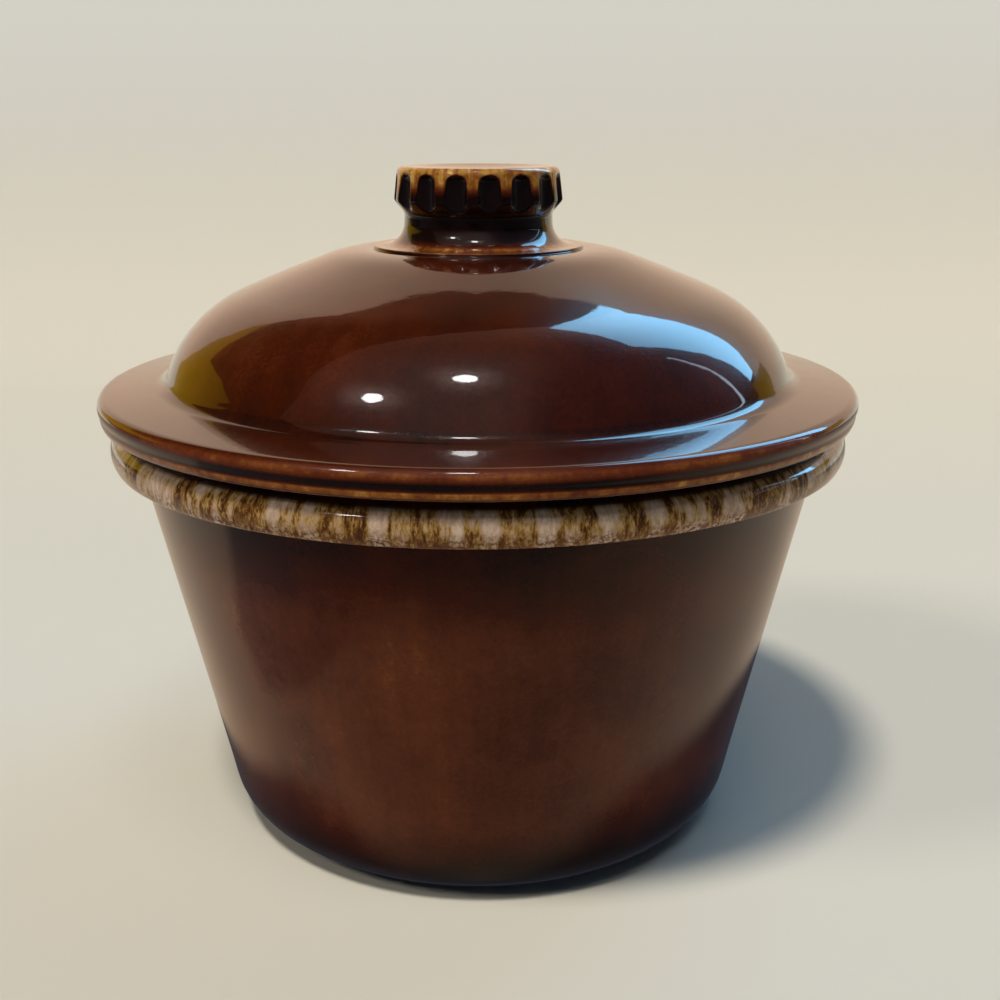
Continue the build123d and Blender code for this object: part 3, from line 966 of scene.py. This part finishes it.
# The floor's profile from the middle to its turned-up edge: share of its radius, and height
FLOOR_PROFILE = ((0.0, 0.0), (0.9, 0.0), (0.97, 0.06), (1.0, 0.5))
FLOOR_SIDES = 96
BACK_START_Y = 0.62
BACK_WALL_Y = 1.02
BACK_LEAD = 0.03
BACK_LIFT = 0.02 * MM
BACK_STEPS = 90
BACK_COLUMNS = 60
# Top edge of the cloth behind the object: how far to the right of the middle, and how high
BACK_TOP = (
    (-1.02, 0.95), (-0.74, 1.09), (-0.30, 1.33), (0.00, 1.45), (0.28, 1.34), (0.45, 1.16),
    (0.94, 1.09), (1.48, 0.80), (1.70, 0.62),
)


def glowing_material(name, colour):
    """A material that shows one plain colour, for what only the glaze mirrors."""
    material, n = new_material(name)
    n.surface(n.node("Emission", Color=(*colour, 1)))
    return material


def cloth_material(name):
    """The floor's paper, which higher up shows the camera and the glaze a plain colour each."""
    material, n = new_material(name)
    height = n.node("SeparateXYZ", Vector=n.node("TexCoord").outputs["Object"]).outputs["Z"]
    rays = n.node("LightPath").outputs
    seen = n.math("MAXIMUM", rays["Is Camera Ray"], rays["Is Glossy Ray"])
    paper = n.node("BsdfDiffuse", Color=(*FLOOR_COLOUR, 1))
    plain = n.node("Emission", Color=n.mix(rays["Is Glossy Ray"], CLOTH_LOOK, CLOTH_MIRRORED))
    n.surface(n.blend(n.math("MULTIPLY", n.between(height, *CLOTH_FADE), seen), paper, plain))
    return material


def floor_material(name):
    """Pale paper, plain and even far off, which the glaze mirrors warm near the object and dark beyond."""
    material, n = new_material(name)
    rays = n.node("LightPath").outputs
    away = n.node("VectorMath", {"operation": "LENGTH"})
    n.put(away.inputs[0], n.node("TexCoord").outputs["Object"])
    distance = away.outputs["Value"]
    mirrored = n.mix(n.between(distance, *FLOOR_FADE), FLOOR_MIRRORED, DARK_FLOOR)
    paper = n.node("BsdfDiffuse", Color=n.mix(rays["Is Glossy Ray"], FLOOR_COLOUR, mirrored))
    plain = n.node("Emission", Color=(*CLOTH_LOOK, 1))
    far = n.math("MULTIPLY", n.between(distance, *FAR_FADE), rays["Is Camera Ray"])
    n.surface(n.blend(far, paper, plain))
    return material


def add_sheet(name, points, faces, material):
    """A sheet that isn't part of the object."""
    mesh = bpy.data.meshes.new(name)
    mesh.from_pydata(points, [], faces)
    mesh.shade_smooth()
    mesh.materials.append(material)
    sheet = add_object(name, mesh)
    return sheet


def sweep(name, rows, material):
    """A sheet through rows of points, each row as long as the next."""
    rows = np.array(rows, float)
    height, width = rows.shape[:2]
    faces = [
        (i * width + j, i * width + j + 1, (i + 1) * width + j + 1, (i + 1) * width + j)
        for i in range(height - 1)
        for j in range(width - 1)
    ]
    return add_sheet(name, rows.reshape(-1, 3).tolist(), faces, material)


def make_stage():
    """A wide round floor with a low turned-up edge, and a pale cloth that rises behind the object."""
    turns = np.linspace(0, 2 * pi, FLOOR_SIDES + 1)
    rings = [[(PAPER_R * r * cos(a), PAPER_R * r * sin(a), z) for a in turns] for r, z in FLOOR_PROFILE]
    sweep("floor", rings, floor_material("PalePaper"))
    bend = BACK_WALL_Y - BACK_START_Y
    top = np.array(BACK_TOP)
    columns = np.linspace(top[0, 0], top[-1, 0], BACK_COLUMNS)
    line = [(BACK_START_Y - BACK_LEAD, BACK_LIFT)]
    for a in np.linspace(0, pi / 2, BACK_STEPS):
        line.append((BACK_START_Y + bend * sin(a), bend * (1 - cos(a)) + BACK_LIFT))
    rows = [[(x, y, z) for x in columns] for y, z in line]
    rows.append([(x, BACK_WALL_Y, np.interp(x, top[:, 0], top[:, 1])) for x in columns])
    sweep("backdrop", rows, cloth_material("PaleCloth"))


make_stage()


# Lights, as compass directions: 0 is +Y, behind the object, and 90 is +X

WARM = (1.0, 0.94, 0.85)
MILD = (0.92, 0.97, 1.0)
COOL = (0.62, 0.80, 1.0)
SKY = (0.24, 0.55, 1.0)
BLUE = (0.26, 0.64, 1.0)
WHITE = (1.0, 1.0, 1.0)
DARK_WALL = (0.03, 0.018, 0.010)
SHADE = (0.03, 0.032, 0.045)
OCHRE_CLOTH = (0.50, 0.30, 0.01)
OCHRE_DARK = (0.42, 0.25, 0.02)
AMBIENT = (0.024, 0.040, 0.070)
ROOM_WARM = (0.50, 0.27, 0.20)
ROOM_PALE = (1.15, 0.92, 0.90)
ROOM_RIGHT = (0.15, 0.16, 0.25)
ROOM_LOW = (0.03, 0.02, 0.03)
# The mirrored room: azimuth and elevation of its pale part, and the cosine, X and Z over which it changes
PALE_TOWARDS = (-172, 52)
PALE_FADE = (0.65, 1.0)
RIGHT_FADE = (0.08, 0.45)
LOW_FADE = (0.10, 0.45)

# Middle of the object, which the suns and lamps face
AIM = Vector((0, 0, 0.12))
# Azimuth, elevation, colour, strength, and width in degrees
SUNS = {
    "key": (-150, 69, WARM, 2.12, 9),
    "key_left": (-116, 40, WARM, 0.75, 14),
    "key_right": (165, 69, MILD, 0.30, 16),
    "window_fill": (45, 50, SKY, 0.75, 40),
}
SUN_DISTANCE = 2
# Azimuth and elevation
LAMPS = {"lamp_left": (-134, 45), "lamp_front": (-171, 67)}
LAMP_DISTANCE = 1.6
LAMP_SIZE = 0.18
LAMP_POWER = 6.5
# Azimuth, distance, from left to right, from low to high, colour and radiance
PANES = {
    "window": (30, 2.2, (-0.35, 1.43), (0.80, 3.95), BLUE, 7.6),
    "window_slit": (74.5, 1.6, (-0.022, 0.022), (0.43, 1.78), COOL, 5.0),
    "window_sill": (85.5, 1.6, (-0.355, 0.355), (0.40, 0.425), COOL, 3.0),
}
# The same for plain cards, without the radiance
DARK_WALL_CARD = (-30, 2.6, (-9.6, 3.4), (0.0, 6.7), DARK_WALL)
OCHRE_RIGHT_CARD = (52, 1.6, (-0.36, 0.36), (0.0, 0.5), OCHRE_DARK)
# A patch of ochre cloth: azimuths and elevations of its corners, from the left of the dome
DOME_LEFT = Vector((-0.065, -0.045, 0.138))
OCHRE_DISTANCE = 1.25
OCHRE_CORNERS = (
    (-30, -2.5), (-38, 6), (-41.5, 14), (-41, 25.6), (-36, 33.7), (-32, 36.5), (-44, 32), (-52, 19),
    (-67, 20.6), (-81, 15.4), (-64, 6), (-40, -3.5),
)

# How far the mirrored shadow reaches from the middle: azimuth, and reach in millimetres
SHADOW_REACH = (
    (-180, 76), (-160, 80), (-151, 86), (-143, 95), (-126, 100), (-103, 94), (-85, 96), (-60, 104),
    (0, 150), (57, 146), (74, 130), (92, 120), (106, 112), (120, 107), (132, 104), (147, 94),
    (157, 85), (170, 78), (180, 76),
)
SHADOW_RINGS = 48
SHADOW_TURNS = 180
SHADOW_INNER = 60 * MM
SHADOW_OUTER = 170 * MM
SHADOW_SOFTNESS = 8 * MM
SHADOW_STRENGTH = 0.92
# Where the dark room in front begins: across, how far in front, and over how much it fades, in metres
FRONT_SHADE = (
    (-3.00, 0.60, 0.050), (-0.40, 0.09, 0.030), (-0.20, 0.040, 0.016), (-0.16, 0.030, 0.012),
    (-0.125, 0.048, 0.014), (-0.110, 0.080, 0.024), (-0.100, 0.125, 0.034), (-0.060, 0.168, 0.035),
    (0.00, 0.182, 0.045), (0.10, 0.190, 0.045), (0.20, 0.205, 0.050), (0.40, 0.300, 0.050),
    (3.00, 0.900, 0.050),
)
FRONT_SHADE_END = 3.9
FRONT_SHADE_STRENGTH = 0.85
JUST_ABOVE = 1 * MM


def direction(azimuth, elevation=0):
    """Unit vector towards a compass direction."""
    a, e = radians(azimuth), radians(elevation)
    return Vector((sin(a) * cos(e), cos(a) * cos(e), sin(e)))


def add_light(name, kind, place, towards, colour, energy, **settings):
    """A light at a place, which shines back along a direction."""
    data = bpy.data.lights.new(name, kind)
    data.color = colour
    data.energy = energy
    for key, value in settings.items():
        setattr(data, key, value)
    lamp = add_object(name, data)
    lamp.location = place
    lamp.rotation_mode = "QUATERNION"
    lamp.rotation_quaternion = towards.to_track_quat("Z", "Y")
    return lamp


def add_sun(name, azimuth, elevation, colour, strength, width):
    """Soft light from far away, which the glaze doesn't mirror."""
    way = direction(azimuth, elevation)
    sun = add_light(name, "SUN", AIM + way * SUN_DISTANCE, way, colour, strength, angle=radians(width))
    sun.visible_glossy = False


def add_lamp(name, azimuth, elevation):
    """A small round lamp that only the glaze mirrors."""
    way = direction(azimuth, elevation)
    disc = {"shape": "DISK", "size": LAMP_SIZE}
    lamp = add_light(name, "AREA", AIM + way * LAMP_DISTANCE, way, WHITE, LAMP_POWER, **disc)
    lamp.visible_diffuse = False


def upright(azimuth, distance, sideways, upwards):
    """Corners of an upright rectangle that faces the object, from left to right and low to high."""
    out, side = direction(azimuth), direction(azimuth + 90)
    return [[out * distance + side * s + Vector((0, 0, z)) for s in sideways] for z in upwards]


def add_pane(name, azimuth, distance, sideways, upwards, colour, radiance):
    """A bright upright pane that only the glaze mirrors."""
    corners = upright(azimuth, distance, sideways, upwards)
    place = sum((point for row in corners for point in row), Vector()) / 4
    width, height = sideways[1] - sideways[0], upwards[1] - upwards[0]
    energy = radiance * pi * width * height
    size = {"shape": "RECTANGLE", "size": width, "size_y": height}
    pane = add_light(name, "AREA", place, direction(azimuth), colour, energy, **size)
    pane.visible_diffuse = False


def only_mirrored(card):
    """Hides a card from all but what the glaze mirrors."""
    card.visible_camera = False
    card.visible_diffuse = False
    card.visible_shadow = False


def add_card(name, azimuth, distance, sideways, upwards, colour):
    """A plain upright card that only the glaze mirrors."""
    corners = upright(azimuth, distance, sideways, upwards)
    rows = [[tuple(point) for point in row] for row in corners]
    only_mirrored(sweep(name, rows, glowing_material(name, colour)))


def add_patch(name, corners, distance, colour):
    """A plain card with corners at given directions from the dome's left, which only the glaze mirrors."""
    points = [tuple(DOME_LEFT + direction(*corner) * distance) for corner in corners]
    face = tuple(range(len(points)))
    only_mirrored(add_sheet(name, points, [face], glowing_material(name, colour)))


def make_world():
    """Even faint light for the object, a pale look for the camera and a room for the glaze to mirror."""
    world = bpy.data.worlds.new("Room")
    bpy.context.scene.world = world
    world.use_nodes = True
    n = Nodes(world.node_tree)
    way = n.node("TexCoord").outputs["Generated"]
    apart = n.node("SeparateXYZ", Vector=way).outputs
    pale = n.node("VectorMath", {"operation": "DOT_PRODUCT"})
    n.put(pale.inputs[0], way)
    n.put(pale.inputs[1], direction(*PALE_TOWARDS))
    room = n.mix(n.between(pale.outputs["Value"], *PALE_FADE), ROOM_WARM, ROOM_PALE)
    room = n.mix(n.between(apart["X"], *RIGHT_FADE), room, ROOM_RIGHT)
    room = n.mix(n.between(apart["Z"], *LOW_FADE), ROOM_LOW, room)
    rays = n.node("LightPath").outputs
    colour = n.mix(rays["Is Glossy Ray"], AMBIENT, room)
    pale_rays = n.math("MAXIMUM", rays["Is Transmission Ray"], rays["Is Camera Ray"])
    colour = n.mix(pale_rays, colour, CLOTH_LOOK)
    n.put(n.tree.nodes["Background"].inputs["Color"], colour)


def shade_sheet(name, rows, shares, colour):
    """A dark sheet on the floor that only the glaze mirrors, with its strength at each point."""
    material, n = new_material(name)
    glow = n.node("Emission", Color=(*colour, 1))
    n.surface(n.blend(n.value("share"), n.node("BsdfTransparent"), glow))
    sheet = sweep(name, rows, material)
    layer = sheet.data.attributes.new("share", "FLOAT", "POINT")
    layer.data.foreach_set("value", np.array(shares, np.float32).ravel())
    only_mirrored(sheet)


def make_foot_shade():
    """The object's shadow round its foot, as the glaze mirrors it."""
    turns = np.linspace(-180, 180, SHADOW_TURNS + 1)
    rings = np.linspace(SHADOW_INNER, SHADOW_OUTER, SHADOW_RINGS)
    reach = np.array(SHADOW_REACH, float)
    edge = np.interp(turns, reach[:, 0], reach[:, 1]) * MM
    share = 1 - smooth_step(edge - SHADOW_SOFTNESS, edge + SHADOW_SOFTNESS, rings[:, None])
    rows = [[(r * sin(radians(t)), r * cos(radians(t)), JUST_ABOVE) for t in turns] for r in rings]
    shade_sheet("foot_shade", rows, SHADOW_STRENGTH * share, SHADE)


def make_front_shade():
    """The dark room in front, as the glaze mirrors it."""
    z = 2 * JUST_ABOVE
    far = [(x, -FRONT_SHADE_END, z) for x, _, _ in FRONT_SHADE]
    dark = [(x, -y - fade / 2, z) for x, y, fade in FRONT_SHADE]
    lit = [(x, -y + fade / 2, z) for x, y, fade in FRONT_SHADE]
    full = FRONT_SHADE_STRENGTH * np.ones(len(FRONT_SHADE))
    shade_sheet("front_shade", [far, dark, lit], [full, full, 0 * full], DARK_FLOOR)


def make_lights():
    """Soft light from the upper left and from a window at the right, and what the glaze mirrors of them."""
    for name, values in SUNS.items():
        add_sun(name, *values)
    for name, values in LAMPS.items():
        add_lamp(name, *values)
    for name, values in PANES.items():
        add_pane(name, *values)
    add_card("dark_wall", *DARK_WALL_CARD)
    add_patch("ochre_left", OCHRE_CORNERS, OCHRE_DISTANCE, OCHRE_CLOTH)
    add_card("ochre_right", *OCHRE_RIGHT_CARD)
    make_foot_shade()
    make_front_shade()


make_world()
make_lights()


# Camera, at the photograph's angle

CAMERA_PLACE = (0.0, -0.37416, 0.19708)
CAMERA_PITCH = 0.2825
CAMERA_YAW = 0.0159
CAMERA_LENS = 47.85
CAMERA_SENSOR = 36
CAMERA_RANGE = (0.01, 50)


def make_camera():
    """The camera that sees what the photograph's did."""
    data = bpy.data.cameras.new("Camera")
    data.sensor_width = CAMERA_SENSOR
    data.lens = CAMERA_LENS
    data.clip_start, data.clip_end = CAMERA_RANGE
    camera = add_object("Camera", data)
    camera.location = CAMERA_PLACE
    camera.rotation_euler = (pi / 2 - CAMERA_PITCH, 0, -CAMERA_YAW)
    bpy.context.scene.camera = camera


make_camera()
bpy.context.scene.view_settings.view_transform = "Standard"
